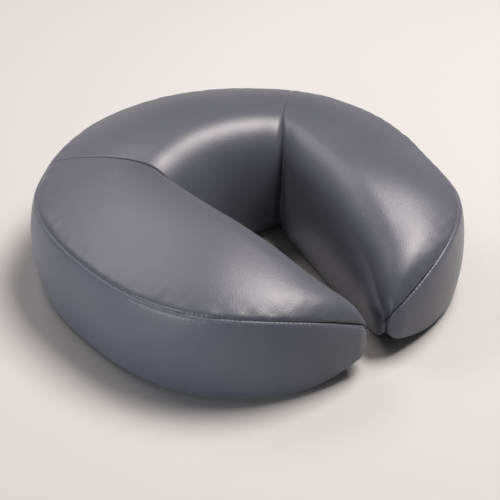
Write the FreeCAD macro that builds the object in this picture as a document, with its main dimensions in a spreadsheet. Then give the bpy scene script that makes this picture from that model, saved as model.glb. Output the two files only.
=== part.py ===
import FreeCAD, Part
import math
import os

import Sketcher
from FreeCAD import Rotation, Vector

# Horseshoe face cushion for a massage table: two foam layers in a sewn cover.
# X runs across the cushion, +Y points to the closed end (the crown), +Z is up.
# The origin is the centre of the rest plane, under the middle of the outline.

doc = FreeCAD.newDocument("face_cushion")
sheet = doc.addObject("Spreadsheet::Sheet", "Sizes")


# ---------------------------------------------------------------- sizes (mm)

SIZES = [
    # overall shape
    ("half_width", 150.0),         # outline radius at the crown, and half the width
    ("half_length", 153.0),        # from the origin to the crown and to the tips
    ("total_height", 94.0),        # rest plane to the crest
    ("side_straight", 28.0),       # straight part of each side, crown arc to front corner
    ("seam_height", 70.0),         # outer top seam above the rest plane
    ("tip_height", 62.0),          # top of the cushion at the tips
    ("tip_seam_height", 48.0),     # outer top seam at the tips
    ("fall_start", 45.0),          # where the top begins to fall, in front of the origin
    # face opening
    ("corner_half", 42.0),         # half the width of the opening at the crown
    ("crown_inner", 20.0),         # inner face of the crown, behind the origin
    ("tip_gap_half", 9.5),         # half the gap between the two tips
    ("inner_roll", 38.0),          # radius where the top rolls into the opening
    ("outer_roll", 20.0),          # radius where the top rolls out to the seam
    ("dart_left_angle", 27.0),     # dart seams, from +Y; the right one runs further out
    ("dart_right_angle", 45.0),
    # layers
    ("cover_thickness", 1.2),
    ("foam_split", 42.0),          # glue line between the two foams
    ("band_depth", 3.0),           # side band zone, inwards from the outline
    ("margin", 20.0),              # cutting zones run this far past the cushion
    # loop strips under the base
    ("strip_thickness", 1.8),
    ("strip_width", 25.0),
    ("strip_corner", 4.0),
    ("arm_strip_length", 105.0),
    ("arm_strip_x", 82.0),
    ("arm_strip_y", -48.0),
    ("arm_strip_turn", 4.0),
    ("crown_strip_length", 58.0),
    ("crown_strip_radius", 92.0),
    ("crown_strip_step", 46.0),    # angle from one crown strip to the next
    # closing zip in the back of the side band
    ("zip_height", 26.0),          # zip centre line above the rest plane
    ("zip_half_angle", 38.0),      # half the arc of closed teeth
    ("slot_half", 5.0),            # half the height of the slot in the band
    ("slot_end", 3.0),             # the slot runs on past the teeth by this angle
    ("tape_thickness", 0.6),
    ("tape_width", 11.0),
    ("tooth_height", 2.2),
    ("tooth_depth", 2.0),
    ("tooth_width", 1.37),
    ("tooth_step", 0.95),          # angle between neighbouring teeth
    ("teeth_gap", 0.7),            # slit between the two rows
    ("stop_width", 2.5),
    ("stop_beyond", 1.5),          # angle from the last teeth to an end stop
    ("slider_length", 11.0),
    ("slider_half", 4.0),          # half the slider's height
    ("slider_plate", 1.1),
    ("slider_gap", 0.45),          # slider plates stand off the teeth by this
    ("slider_front_gap", 0.2),     # and the front plate off the band
    ("slider_lip", 0.8),
    ("bridge_start", 1.1),         # the bridge between the plates, from the slider's middle
    ("bridge_half", 0.21),
    ("lug_half", 1.3),
    ("lug_thickness", 0.9),
    ("lug_beyond", 1.1),           # lugs run on past the pin's line
    ("slider_rest", 36.0),         # parked slider, from +Y towards +X
    ("pin_radius", 0.6),
    ("pull_length", 24.0),
    ("pull_width", 6.5),
    ("pull_thickness", 1.2),
    ("pull_clearance", 0.09),      # between the pull tab and the slider's lugs and pin
    ("eye_wall", 0.5),
    ("eye_gap", 0.2),              # between the pull's eye and the front plate
    ("neck_half", 1.43),
    ("neck_length", 1.0),
]

for row, (alias, number) in enumerate(SIZES, start=1):
    sheet.set("A%d" % row, alias)
    sheet.set("B%d" % row, str(number))
    sheet.setAlias("B%d" % row, alias)
doc.recompute()


def size(alias):
    return float(sheet.get(alias))


# ---------------------------------------------------------------- helpers

def new_body(name):
    return doc.addObject("PartDesign::Body", name)


def sketch_on(body, name, plane, lift=None):
    """A sketch on one of the body's own origin planes, lifted by an expression."""
    sketch = body.newObject("Sketcher::SketchObject", name)
    support = [f for f in body.Origin.OriginFeatures if f.Role == plane][0]
    sketch.AttachmentSupport = (support, "")
    sketch.MapMode = "FlatFace"
    if lift:
        sketch.setExpression("AttachmentOffset.Base.z", lift)
    return sketch


def bind(sketch, name, constraint, expression):
    """Add one dimension to a sketch and tie it to the sheet."""
    index = sketch.addConstraint(constraint)
    sketch.renameConstraint(index, name)
    sketch.setExpression("Constraints." + name, expression)


def pad(body, name, sketch, length):
    feature = body.newObject("PartDesign::Pad", name)
    feature.Profile = sketch
    feature.setExpression("Length", length)
    return feature


def pocket_through(body, name, sketch):
    """Cut the sketch right through the body, both ways."""
    feature = body.newObject("PartDesign::Pocket", name)
    feature.Profile = sketch
    feature.Type = "ThroughAll"
    feature.Midplane = True
    return feature


def polygon(sketch, corners):
    """Closed straight-sided outline."""
    count = len(corners)
    for i in range(count):
        start = Vector(*corners[i], 0)
        end = Vector(*corners[(i + 1) % count], 0)
        sketch.addGeometry(Part.LineSegment(start, end), False)
    for i in range(count):
        joint = Sketcher.Constraint("Coincident", i, 2, (i + 1) % count, 1)
        sketch.addConstraint(joint)


def corner_at(sketch, line, name, x_expression, y_expression):
    """Tie the first end of a line to signed X and Y values."""
    bind(sketch, name + "_x", Sketcher.Constraint("DistanceX", -1, 1, line, 1, 1.0), x_expression)
    bind(sketch, name + "_y", Sketcher.Constraint("DistanceY", -1, 1, line, 1, 1.0), y_expression)


def rectangle(sketch, left, right, low, high):
    """Rectangle whose four sides are tied to signed expressions."""
    polygon(sketch, [(0, 0), (1, 0), (1, 1), (0, 1)])
    sketch.addConstraint(Sketcher.Constraint("Horizontal", 0))
    sketch.addConstraint(Sketcher.Constraint("Horizontal", 2))
    sketch.addConstraint(Sketcher.Constraint("Vertical", 1))
    sketch.addConstraint(Sketcher.Constraint("Vertical", 3))
    corner_at(sketch, 0, "low_left", left, low)
    corner_at(sketch, 2, "high_right", right, high)


def boolean(kind, name, first, second):
    feature = doc.addObject("Part::" + kind, name)
    feature.Base = first
    feature.Tool = second
    return feature


def cut(name, first, second):
    return boolean("Cut", name, first, second)


def common(name, first, second):
    return boolean("Common", name, first, second)


def fuse(name, shapes):
    feature = doc.addObject("Part::MultiFuse", name)
    feature.Shapes = shapes
    return feature


# ---------------------------------------------------------------- cushion form

# The front corners take up what the crown's arc and the straight sides leave of the length.
FRONT_CORNER = "(2 * Sizes.half_length - Sizes.half_width - Sizes.side_straight)"


def inset_of(alias):
    """An inset as a number and as an expression; no alias means no inset."""
    if alias:
        return size(alias), "Sizes." + alias
    return 0.0, "0"


def outline_sketch(body, name, alias, lift):
    """The cushion's outer plan: crown semicircle, short sides, front corners."""
    inset, inset_text = inset_of(alias)
    radius = size("half_width") - inset
    front_corner = 2 * size("half_length") - size("half_width") - size("side_straight")
    corner = front_corner - inset
    crown_y = size("half_length") - size("half_width")
    corner_x = size("half_width") - front_corner
    corner_y = front_corner - size("half_length")
    front_y = corner_y - corner
    up = Vector(0, 0, 1)
    crown = Part.Circle(Vector(0, crown_y, 0), up, radius)
    left = Part.Circle(Vector(-corner_x, corner_y, 0), up, corner)
    right = Part.Circle(Vector(corner_x, corner_y, 0), up, corner)
    sides = [
        Part.ArcOfCircle(crown, 0, math.pi),
        Part.LineSegment(Vector(-radius, crown_y, 0), Vector(-radius, corner_y, 0)),
        Part.ArcOfCircle(left, math.pi, 1.5 * math.pi),
        Part.LineSegment(Vector(-corner_x, front_y, 0), Vector(corner_x, front_y, 0)),
        Part.ArcOfCircle(right, 1.5 * math.pi, 2 * math.pi),
        Part.LineSegment(Vector(radius, corner_y, 0), Vector(radius, crown_y, 0)),
    ]
    sketch = sketch_on(body, name, "XY_Plane", lift)
    for side in sides:
        sketch.addGeometry(side, False)
    for i in range(len(sides)):
        sketch.addConstraint(Sketcher.Constraint("Tangent", i, 2, (i + 1) % len(sides), 1))
    sketch.addConstraint(Sketcher.Constraint("Vertical", 1))
    sketch.addConstraint(Sketcher.Constraint("Horizontal", 3))
    sketch.addConstraint(Sketcher.Constraint("PointOnObject", 0, 3, -2))
    sketch.addConstraint(Sketcher.Constraint("Equal", 2, 4))
    bind(sketch, "crown", Sketcher.Constraint("Radius", 0, radius),
         "Sizes.half_width - " + inset_text)
    bind(sketch, "crown_centre", Sketcher.Constraint("DistanceY", -1, 1, 0, 3, crown_y),
         "Sizes.half_length - Sizes.half_width")
    bind(sketch, "corner", Sketcher.Constraint("Radius", 2, corner),
         FRONT_CORNER + " - " + inset_text)
    bind(sketch, "front", Sketcher.Constraint("DistanceY", 3, 1, -1, 1, -front_y),
         "Sizes.half_length - " + inset_text)
    return sketch


ARM_SLOPE = ("(Sizes.corner_half - Sizes.tip_gap_half)"
             " / (Sizes.half_length + Sizes.crown_inner)")
ARM_SLANT = "sqrt(1 + (%s)^2)" % ARM_SLOPE


def mouth_sketch(body, name, alias):
    """Face opening and the gap between the tips, widened by the inset."""
    inset_text = inset_of(alias)[1]
    back_half = "(Sizes.corner_half + %s * (%s + %s))" % (inset_text, ARM_SLANT, ARM_SLOPE)
    front_half = "(Sizes.tip_gap_half + %s * %s - Sizes.margin * %s)" % (
        inset_text, ARM_SLANT, ARM_SLOPE)
    back = "Sizes.crown_inner + " + inset_text
    front = "-(Sizes.half_length + Sizes.margin)"
    sketch = sketch_on(body, name, "XY_Plane")
    wide, narrow = size("corner_half"), size("tip_gap_half")
    near, far = size("crown_inner"), -size("half_length")
    polygon(sketch, [(-wide, near), (wide, near), (narrow, far), (-narrow, far)])
    corner_at(sketch, 0, "back_left", "-" + back_half, back)
    corner_at(sketch, 1, "back_right", back_half, back)
    corner_at(sketch, 2, "front_right", front_half, front)
    corner_at(sketch, 3, "front_left", "-" + front_half, front)
    return sketch


def fall_sketch(body, name, high, low):
    """Side view of the space above a line that falls in an arc towards the tips."""
    start_y = -size("fall_start")
    tip_y = -size("half_length")
    high_z = size("total_height")
    low_z = size("tip_height")
    run = start_y - tip_y
    drop = high_z - low_z
    radius = (run * run + drop * drop) / (2 * drop)
    centre = Vector(start_y, high_z - radius, 0)
    turn = math.asin(run / radius)
    arc = Part.ArcOfCircle(Part.Circle(centre, Vector(0, 0, 1), radius),
                           0.5 * math.pi, 0.5 * math.pi + turn)
    tip = Vector(tip_y, low_z, 0)
    outside = Vector(tip_y - size("margin"), low_z, 0)
    outside_high = Vector(tip_y - size("margin"), high_z + size("margin"), 0)
    start_high = Vector(start_y, high_z + size("margin"), 0)
    start = Vector(start_y, high_z, 0)
    sketch = sketch_on(body, name, "YZ_Plane")
    sketch.addGeometry(arc, False)
    for first, second in ((tip, outside), (outside, outside_high),
                          (outside_high, start_high), (start_high, start)):
        sketch.addGeometry(Part.LineSegment(first, second), False)
    for i in range(4):
        sketch.addConstraint(Sketcher.Constraint("Coincident", i, 2, i + 1, 1))
    sketch.addConstraint(Sketcher.Constraint("Coincident", 4, 2, 0, 1))
    sketch.addConstraint(Sketcher.Constraint("Horizontal", 1))
    sketch.addConstraint(Sketcher.Constraint("Vertical", 2))
    sketch.addConstraint(Sketcher.Constraint("Horizontal", 3))
    sketch.addConstraint(Sketcher.Constraint("Vertical", 4))
    sketch.addConstraint(Sketcher.Constraint("Vertical", 0, 3, 0, 1))
    corner_at(sketch, 1, "tip", "-Sizes.half_length", low)
    corner_at(sketch, 3, "outside", "-(Sizes.half_length + Sizes.margin)",
              "Sizes.total_height + Sizes.margin")
    bind(sketch, "start_y", Sketcher.Constraint("DistanceX", -1, 1, 0, 1, start_y),
         "-Sizes.fall_start")
    bind(sketch, "start_z", Sketcher.Constraint("DistanceY", -1, 1, 0, 1, high_z), high)
    return sketch


NEAR = 5.0                         # an edge this close to a face counts as lying beside it


def top_edges(shape, low, inner):
    """Names of the top's edges along the opening, or along the outer wall.

    A roll along them carries on down the upright corners where they end.
    """
    names = []
    for number, edge in enumerate(shape.Edges, start=1):
        middle = edge.valueAt(0.5 * (edge.FirstParameter + edge.LastParameter))
        box = edge.BoundBox
        upright = box.ZLength > max(box.XLength, box.YLength)
        if upright or middle.z < low or edge.Length < NEAR:
            continue
        beside_opening = abs(middle.x) < size("corner_half") + NEAR
        across_arm = box.YLength < 1 and not beside_opening
        if across_arm:
            continue
        at_tip = middle.y < NEAR - size("half_length")
        in_opening = beside_opening and middle.y < size("crown_inner") + NEAR and not at_tip
        if in_opening == inner:
            names.append("Edge%d" % number)
    return names


def fillet(body, name, base, edges, radius):
    feature = body.newObject("PartDesign::Fillet", name)
    feature.Base = (base, edges)
    feature.setExpression("Radius", radius)
    doc.recompute()
    return feature


def cushion_form(name, alias):
    """The cushion's whole outer shape, taken in by the inset all round."""
    inset_text = inset_of(alias)[1]
    body = new_body(name)
    outline = outline_sketch(body, name + "_outline", alias,
                             "Sizes.strip_thickness + " + inset_text)
    block = pad(body, name + "_block", outline,
                "Sizes.total_height - Sizes.strip_thickness - 2 * " + inset_text)
    pocket_through(body, name + "_mouth", mouth_sketch(body, name + "_opening", alias))
    fall = fall_sketch(body, name + "_fall", "Sizes.total_height - " + inset_text,
                       "Sizes.tip_height - " + inset_text)
    sloped = pocket_through(body, name + "_slope", fall)
    doc.recompute()
    low = 0.5 * size("tip_height")
    rolled = fillet(body, name + "_inner_roll", sloped, top_edges(sloped.Shape, low, True),
                    "Sizes.inner_roll - " + inset_text)
    fillet(body, name + "_outer_roll", rolled, top_edges(rolled.Shape, low, False),
           "Sizes.outer_roll - " + inset_text)
    return body


cover_form = cushion_form("cover_form", "")
filling_form = cushion_form("filling_form", "cover_thickness")
cover_shell = cut("cover_shell", cover_form, filling_form)


# ---------------------------------------------------------------- cutting zones

REACH = "(Sizes.half_length + Sizes.half_width)"     # past the cushion, whichever way


def slab(name, low, high):
    """Everything between two heights."""
    zone = doc.addObject("Part::Box", name)
    zone.setExpression("Length", "2 * " + REACH)
    zone.setExpression("Width", "2 * " + REACH)
    zone.setExpression("Height", "(%s) - (%s)" % (high, low))
    zone.setExpression("Placement.Base.x", "-" + REACH)
    zone.setExpression("Placement.Base.y", "-" + REACH)
    zone.setExpression("Placement.Base.z", low)
    return zone


def half_space(name, side):
    """Everything on one side of the middle plane; side is -1 for left, 1 for right."""
    zone = doc.addObject("Part::Box", name)
    zone.setExpression("Length", REACH)
    zone.setExpression("Width", "2 * " + REACH)
    zone.setExpression("Height", "Sizes.total_height + 2 * Sizes.margin")
    zone.setExpression("Placement.Base.x", "0" if side > 0 else "-" + REACH)
    zone.setExpression("Placement.Base.y", "-" + REACH)
    zone.setExpression("Placement.Base.z", "-Sizes.margin")
    return zone


def band_zone():
    """Ring that holds the side band: just inside the outline, below the top seam."""
    below_seam = new_body("below_seam")
    plan = sketch_on(below_seam, "below_seam_plan", "XY_Plane")
    rectangle(plan, "-" + REACH, REACH, "-" + REACH, REACH)
    block = pad(below_seam, "below_seam_block", plan, "Sizes.seam_height")
    fall = fall_sketch(below_seam, "below_seam_fall", "Sizes.seam_height", "Sizes.tip_seam_height")
    pocket_through(below_seam, "below_seam_slope", fall)
    inside = new_body("inside_band")
    inner_outline = outline_sketch(inside, "inside_band_outline", "band_depth", "-Sizes.margin")
    pad(inside, "inside_band_block", inner_outline, "Sizes.total_height + 2 * Sizes.margin")
    return cut("band_zone", below_seam, inside)


def crown_zone():
    """Wedge that spreads from the opening's two back corners along the dart seams."""
    body = new_body("crown_zone")
    plan = sketch_on(body, "crown_zone_plan", "XY_Plane")
    back = "(Sizes.half_length + Sizes.margin)"
    spread = "(Sizes.corner_half + (%s - Sizes.crown_inner) * tan(Sizes.dart_%s_angle * 1 deg))"
    narrow, wide = size("corner_half"), size("half_width")
    near, far = size("crown_inner"), size("half_length")
    polygon(plan, [(-narrow, near), (narrow, near), (wide, far), (-wide, far)])
    corner_at(plan, 0, "front_left", "-Sizes.corner_half", "Sizes.crown_inner")
    corner_at(plan, 1, "front_right", "Sizes.corner_half", "Sizes.crown_inner")
    corner_at(plan, 2, "back_right", spread % (back, "right"), back)
    corner_at(plan, 3, "back_left", "-" + spread % (back, "left"), back)
    pad(body, "crown_zone_block", plan, "Sizes.total_height + Sizes.margin")
    return body


def ring_sector(name, inner, outer, low, high, half_angle):
    """Part of a ring about the crown's centre, level, to both sides of +Y."""
    body = new_body(name)
    profile = sketch_on(body, name + "_profile", "YZ_Plane")
    rectangle(profile, inner, outer, low, high)
    feature = body.newObject("PartDesign::Revolution", name + "_turn")
    feature.Profile = profile
    feature.ReferenceAxis = (profile, ["V_Axis"])
    feature.Midplane = True
    feature.setExpression("Angle", "2 * (%s)" % half_angle)
    body.setExpression("Placement.Base.y", "Sizes.half_length - Sizes.half_width")
    return body


left_half = half_space("left_half", -1)
right_half = half_space("right_half", 1)
band = common("band", cover_shell, band_zone())
inner_cover = cut("inner_cover", cover_shell, band)


# ---------------------------------------------------------------- cover pieces

SLOT_HALF_ANGLE = "Sizes.zip_half_angle + Sizes.slot_end"
FLOOR = "Sizes.strip_thickness + Sizes.cover_thickness"

base_slab = slab("base_slab", "-Sizes.margin", FLOOR)
base_panel = common("base_panel", inner_cover, base_slab)
top_cover = cut("top_cover", inner_cover, base_slab)
crown = crown_zone()
top_panel_crown = common("top_panel_crown", top_cover, crown)
arm_panels = cut("arm_panels", top_cover, crown)
top_panel_left = common("top_panel_left", arm_panels, left_half)
top_panel_right = common("top_panel_right", arm_panels, right_half)

zip_stretch = ring_sector("zip_stretch", "Sizes.half_width - Sizes.margin",
                          "Sizes.half_width + Sizes.margin", "-Sizes.margin",
                          "Sizes.total_height", SLOT_HALF_ANGLE)
long_band = cut("long_band", band, zip_stretch)
side_band_left = common("side_band_left", long_band, left_half)
side_band_right = common("side_band_right", long_band, right_half)
zip_band = common("zip_band", band, zip_stretch)
above_slot = slab("above_slot", "Sizes.zip_height + Sizes.slot_half", "Sizes.total_height")
below_slot = slab("below_slot", "-Sizes.margin", "Sizes.zip_height - Sizes.slot_half")
zip_band_upper = common("zip_band_upper", zip_band, above_slot)
zip_band_lower = common("zip_band_lower", zip_band, below_slot)


# ---------------------------------------------------------------- foam layers

# The lower foam is recessed for the zip tapes, and channelled behind the teeth so that
# the slider's back plate runs free.
TAPE_OUTER = "(Sizes.half_width - Sizes.cover_thickness)"
CHAIN_OUTER = "(%s + 0.5 * Sizes.tape_thickness)" % TAPE_OUTER
CHAIN_INNER = "(%s - Sizes.tooth_depth)" % CHAIN_OUTER
SLIDER_OUTER = "(%s - Sizes.slider_gap)" % CHAIN_INNER
SLIDER_INNER = "(%s - Sizes.slider_plate)" % SLIDER_OUTER
tape_recess = ring_sector("tape_recess", TAPE_OUTER + " - Sizes.tape_thickness",
                          "Sizes.half_width",
                          "Sizes.zip_height - Sizes.tape_width",
                          "Sizes.zip_height + Sizes.tape_width", SLOT_HALF_ANGLE)
slider_channel = ring_sector("slider_channel", SLIDER_INNER + " - 2 * Sizes.slider_gap",
                             "Sizes.half_width",
                             "Sizes.zip_height - Sizes.slot_half",
                             "Sizes.zip_height + Sizes.slot_half", SLOT_HALF_ANGLE)
under_split = slab("under_split", "-Sizes.margin", "Sizes.foam_split")
lower_filling = common("lower_filling", filling_form, under_split)
base_foam = cut("base_foam", lower_filling, fuse("zip_channel", [tape_recess, slider_channel]))
memory_foam = cut("memory_foam", filling_form, under_split)


# ---------------------------------------------------------------- loop strips

def loop_strip(name, length):
    """Flat strip of loop tape with rounded corners, lying on the rest plane."""
    body = new_body(name)
    plan = sketch_on(body, name + "_plan", "XY_Plane")
    half = "0.5 * " + length
    rectangle(plan, "-" + half, half, "-0.5 * Sizes.strip_width", "0.5 * Sizes.strip_width")
    block = pad(body, name + "_block", plan, "Sizes.strip_thickness")
    doc.recompute()
    upright = [e for e in range(1, len(block.Shape.Edges) + 1)
               if block.Shape.Edges[e - 1].BoundBox.ZLength > 0.5 * size("strip_thickness")]
    fillet(body, name + "_corners", block, ["Edge%d" % e for e in upright],
           "Sizes.strip_corner")
    return body


def arm_strip(name, side):
    body = loop_strip(name, "Sizes.arm_strip_length")
    turn = 90 + side * size("arm_strip_turn")
    body.Placement = FreeCAD.Placement(Vector(0, 0, 0), Rotation(Vector(0, 0, 1), turn))
    body.setExpression("Placement.Base.x", "%d * Sizes.arm_strip_x" % side)
    body.setExpression("Placement.Base.y", "Sizes.arm_strip_y")
    return body


def crown_strip(name, step):
    """A strip square to a radius of the crown, a number of steps from +Y towards +X."""
    body = loop_strip(name, "Sizes.crown_strip_length")
    turn = "%d * Sizes.crown_strip_step" % step
    angle = Rotation(Vector(0, 0, 1), -step * size("crown_strip_step"))
    body.Placement = FreeCAD.Placement(Vector(0, 0, 0), angle)
    body.setExpression("Placement.Base.x", "Sizes.crown_strip_radius * sin(%s * 1 deg)" % turn)
    body.setExpression("Placement.Base.y",
                       "Sizes.half_length - Sizes.half_width"
                       " + Sizes.crown_strip_radius * cos(%s * 1 deg)" % turn)
    return body


loop_strips = [
    arm_strip("loop_strip_left", -1),
    arm_strip("loop_strip_right", 1),
    crown_strip("loop_strip_crown_left", -1),
    crown_strip("loop_strip_crown_middle", 0),
    crown_strip("loop_strip_crown_right", 1),
]


# ---------------------------------------------------------------- zip chain

TOOTH_BASE = "(0.5 * Sizes.teeth_gap + Sizes.tooth_height)"
TAPE_INNER = TAPE_OUTER + " - Sizes.tape_thickness"
zip_tape_upper = ring_sector("zip_tape_upper", TAPE_INNER, TAPE_OUTER,
                             "Sizes.zip_height + " + TOOTH_BASE,
                             "Sizes.zip_height + Sizes.tape_width", SLOT_HALF_ANGLE)
zip_tape_lower = ring_sector("zip_tape_lower", TAPE_INNER, TAPE_OUTER,
                             "Sizes.zip_height - Sizes.tape_width",
                             "Sizes.zip_height - " + TOOTH_BASE, SLOT_HALF_ANGLE)


def at_crown(shape, angle):
    """Turn a shape that lies on +Y about the crown's centre, towards +X, and put it there."""
    shape.rotate(Vector(0, 0, 0), Vector(0, 0, 1), -angle)
    shape.translate(Vector(0, size("half_length") - size("half_width"), 0))
    return shape


def tooth_row(name, side):
    """One row of moulded teeth; side is 1 above the slit and -1 below it."""
    width = size("tooth_width")
    outer = size("half_width") - size("cover_thickness") + 0.5 * size("tape_thickness")
    depth = size("tooth_depth")
    height = size("tooth_height")
    low = size("zip_height") + 0.5 * size("teeth_gap")
    if side < 0:
        low = size("zip_height") - 0.5 * size("teeth_gap") - height
    count = int(size("zip_half_angle") / size("tooth_step"))
    teeth = []
    for i in range(-count, count + 1):
        tooth = Part.makeBox(width, depth, height, Vector(-0.5 * width, outer - depth, low))
        teeth.append(at_crown(tooth, (i + 0.25 * side) * size("tooth_step")))
    row = doc.addObject("Part::Feature", name)
    row.Shape = Part.makeCompound(teeth)
    return row


zip_teeth_upper = tooth_row("zip_teeth_upper", 1)
zip_teeth_lower = tooth_row("zip_teeth_lower", -1)


def end_stops():
    """The chain's two end stops, each clamped over both rows."""
    outer = size("half_width") - size("cover_thickness") + 0.5 * size("tape_thickness")
    depth = size("tooth_depth")
    half = 0.5 * size("teeth_gap") + size("tooth_height")
    width = size("stop_width")
    stops = []
    for side in (-1, 1):
        low = Vector(-0.5 * width, outer - depth, size("zip_height") - half)
        stop = Part.makeBox(width, depth, 2 * half, low)
        stops.append(at_crown(stop, side * (size("zip_half_angle") + size("stop_beyond"))))
    feature = doc.addObject("Part::Feature", "zip_stops")
    feature.Shape = Part.makeCompound(stops)
    return feature


zip_stops = end_stops()


# ---------------------------------------------------------------- zip slider and pull

# In their own frames Y points outwards from the crown's centre and Z is up.
FRONT_PLATE = "(Sizes.half_width + Sizes.slider_front_gap)"
LUG_ROOT = "(%s + Sizes.slider_plate)" % FRONT_PLATE
EYE_RADIUS = "(Sizes.pin_radius + Sizes.pull_clearance + Sizes.eye_wall)"
PIN_RADIUS_OUT = "(%s + %s + Sizes.eye_gap)" % (LUG_ROOT, EYE_RADIUS)
LUG_INNER = "(Sizes.neck_half + Sizes.pull_clearance)"
LUG_OUTER = "(%s + Sizes.lug_thickness)" % LUG_INNER


def block(name, left, right, inner, outer, low, high):
    """Box between signed expressions: along the zip, outwards, and up from the zip's line."""
    box = doc.addObject("Part::Box", name)
    box.setExpression("Length", "(%s) - (%s)" % (right, left))
    box.setExpression("Width", "(%s) - (%s)" % (outer, inner))
    box.setExpression("Height", "(%s) - (%s)" % (high, low))
    box.setExpression("Placement.Base.x", left)
    box.setExpression("Placement.Base.y", inner)
    box.setExpression("Placement.Base.z", low)
    return box


def upright_rod(name, radius, half_height):
    """Round rod on the pin's line, centred on the zip's line."""
    rod = doc.addObject("Part::Cylinder", name)
    rod.setExpression("Radius", radius)
    rod.setExpression("Height", "2 * " + half_height)
    rod.setExpression("Placement.Base.y", PIN_RADIUS_OUT)
    rod.setExpression("Placement.Base.z", "-" + half_height)
    return rod


def park(feature):
    """Turn a piece of the slider to its resting place on the chain."""
    angle = Rotation(Vector(0, 0, 1), -size("slider_rest"))
    feature.Placement = FreeCAD.Placement(Vector(0, 0, 0), angle)
    feature.setExpression("Placement.Base.y", "Sizes.half_length - Sizes.half_width")
    feature.setExpression("Placement.Base.z", "Sizes.zip_height")
    return feature


def slider():
    """Front and back plates joined by a thin bridge, with lips, lugs and a pin."""
    half = "0.5 * Sizes.slider_length"
    tall = "Sizes.slider_half"
    lip = "(%s - Sizes.slider_lip)" % tall
    lip_inner = "(%s + Sizes.slider_gap)" % TAPE_OUTER
    lug_end = PIN_RADIUS_OUT + " + Sizes.lug_beyond"
    pieces = [
        block("slider_front", "-" + half, half, FRONT_PLATE, LUG_ROOT, "-" + tall, tall),
        block("slider_back", "-" + half, half, SLIDER_INNER, SLIDER_OUTER, "-" + tall, tall),
        block("slider_bridge", "Sizes.bridge_start", half, SLIDER_INNER, LUG_ROOT,
              "-Sizes.bridge_half", "Sizes.bridge_half"),
        block("slider_lip_upper", "-" + half, half, lip_inner, LUG_ROOT, lip, tall),
        block("slider_lip_lower", "-" + half, half, lip_inner, LUG_ROOT, "-" + tall, "-" + lip),
        block("slider_lug_upper", "-Sizes.lug_half", "Sizes.lug_half", FRONT_PLATE, lug_end,
              LUG_INNER, LUG_OUTER),
        block("slider_lug_lower", "-Sizes.lug_half", "Sizes.lug_half", FRONT_PLATE, lug_end,
              "-" + LUG_OUTER, "-" + LUG_INNER),
        upright_rod("slider_pin", "Sizes.pin_radius", LUG_OUTER),
    ]
    return park(fuse("zip_slider", pieces))


def pull_tab():
    """Flat pull with an eye round the slider's pin; it lies along the zip, towards +X."""
    half = "0.5 * Sizes.pull_thickness"
    inner = "%s - %s" % (PIN_RADIUS_OUT, half)
    outer = "%s + %s" % (PIN_RADIUS_OUT, half)
    wide = "0.5 * Sizes.pull_width"
    neck = "(%s + Sizes.neck_length)" % EYE_RADIUS
    eye = upright_rod("pull_eye", EYE_RADIUS, "Sizes.neck_half")
    stem = block("pull_stem", "0", neck, inner, outer, "-Sizes.neck_half", "Sizes.neck_half")
    blade = block("pull_blade", neck, "Sizes.pull_length", inner, outer, "-" + wide, wide)
    bore = upright_rod("pull_bore", "Sizes.pin_radius + Sizes.pull_clearance", LUG_OUTER)
    outline = fuse("pull_outline", [eye, stem, blade])
    return park(cut("zip_pull_tab", outline, bore))


zip_slider = slider()
zip_pull_tab = pull_tab()


# ---------------------------------------------------------------- check and export

PIECES = [
    base_foam, memory_foam,
    top_panel_left, top_panel_crown, top_panel_right,
    side_band_left, side_band_right, zip_band_upper, zip_band_lower, base_panel,
    zip_tape_upper, zip_tape_lower, zip_teeth_upper, zip_teeth_lower, zip_stops,
    zip_slider, zip_pull_tab,
] + loop_strips

doc.recompute()
for item in doc.Objects:
    if "Invalid" in item.State or "Error" in item.State:
        raise RuntimeError("failed object: " + item.Label)
for piece in PIECES:
    if piece.Shape.isNull() or not piece.Shape.isValid():
        raise RuntimeError("bad shape: " + piece.Label)

os.makedirs("parts", exist_ok=True)
for piece in PIECES:
    piece.Shape.exportStep(os.path.join("parts", piece.Label + ".step"))
print("pieces:", len(PIECES))
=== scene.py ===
import math

import bmesh
import bpy
import numpy as np
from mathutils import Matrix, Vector


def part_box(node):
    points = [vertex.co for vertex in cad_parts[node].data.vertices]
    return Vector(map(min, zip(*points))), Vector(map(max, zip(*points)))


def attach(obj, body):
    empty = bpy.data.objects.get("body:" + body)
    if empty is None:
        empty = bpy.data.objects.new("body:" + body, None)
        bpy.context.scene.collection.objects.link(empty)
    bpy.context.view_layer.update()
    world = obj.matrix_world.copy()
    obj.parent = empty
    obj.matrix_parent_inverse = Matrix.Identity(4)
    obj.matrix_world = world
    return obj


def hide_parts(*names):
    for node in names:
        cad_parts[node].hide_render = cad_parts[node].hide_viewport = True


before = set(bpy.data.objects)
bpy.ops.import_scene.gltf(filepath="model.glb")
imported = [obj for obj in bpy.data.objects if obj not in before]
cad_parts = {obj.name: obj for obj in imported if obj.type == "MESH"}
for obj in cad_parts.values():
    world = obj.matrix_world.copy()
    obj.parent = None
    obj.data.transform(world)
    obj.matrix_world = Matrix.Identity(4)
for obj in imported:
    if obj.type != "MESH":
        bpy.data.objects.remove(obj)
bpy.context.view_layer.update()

# Horseshoe face cushion: looks. Metres, +Y to the crown, +Z up, as in the frame.
# The cover is one closed surface, worked out as sections along the outline and then
# cut into its sewn panels. Each panel is a thin shell whose edges turn in at the seams.

MM = 0.001
TINY = 1e-12                     # keeps a division by a length of zero harmless


# ------------------------------------------------------------------ sizes from the frame

BAND_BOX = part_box("side_band_left")
UPPER_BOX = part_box("zip_band_upper")
LOWER_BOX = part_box("zip_band_lower")
TOP_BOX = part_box("top_panel_crown")
BASE_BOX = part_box("base_panel")

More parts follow.
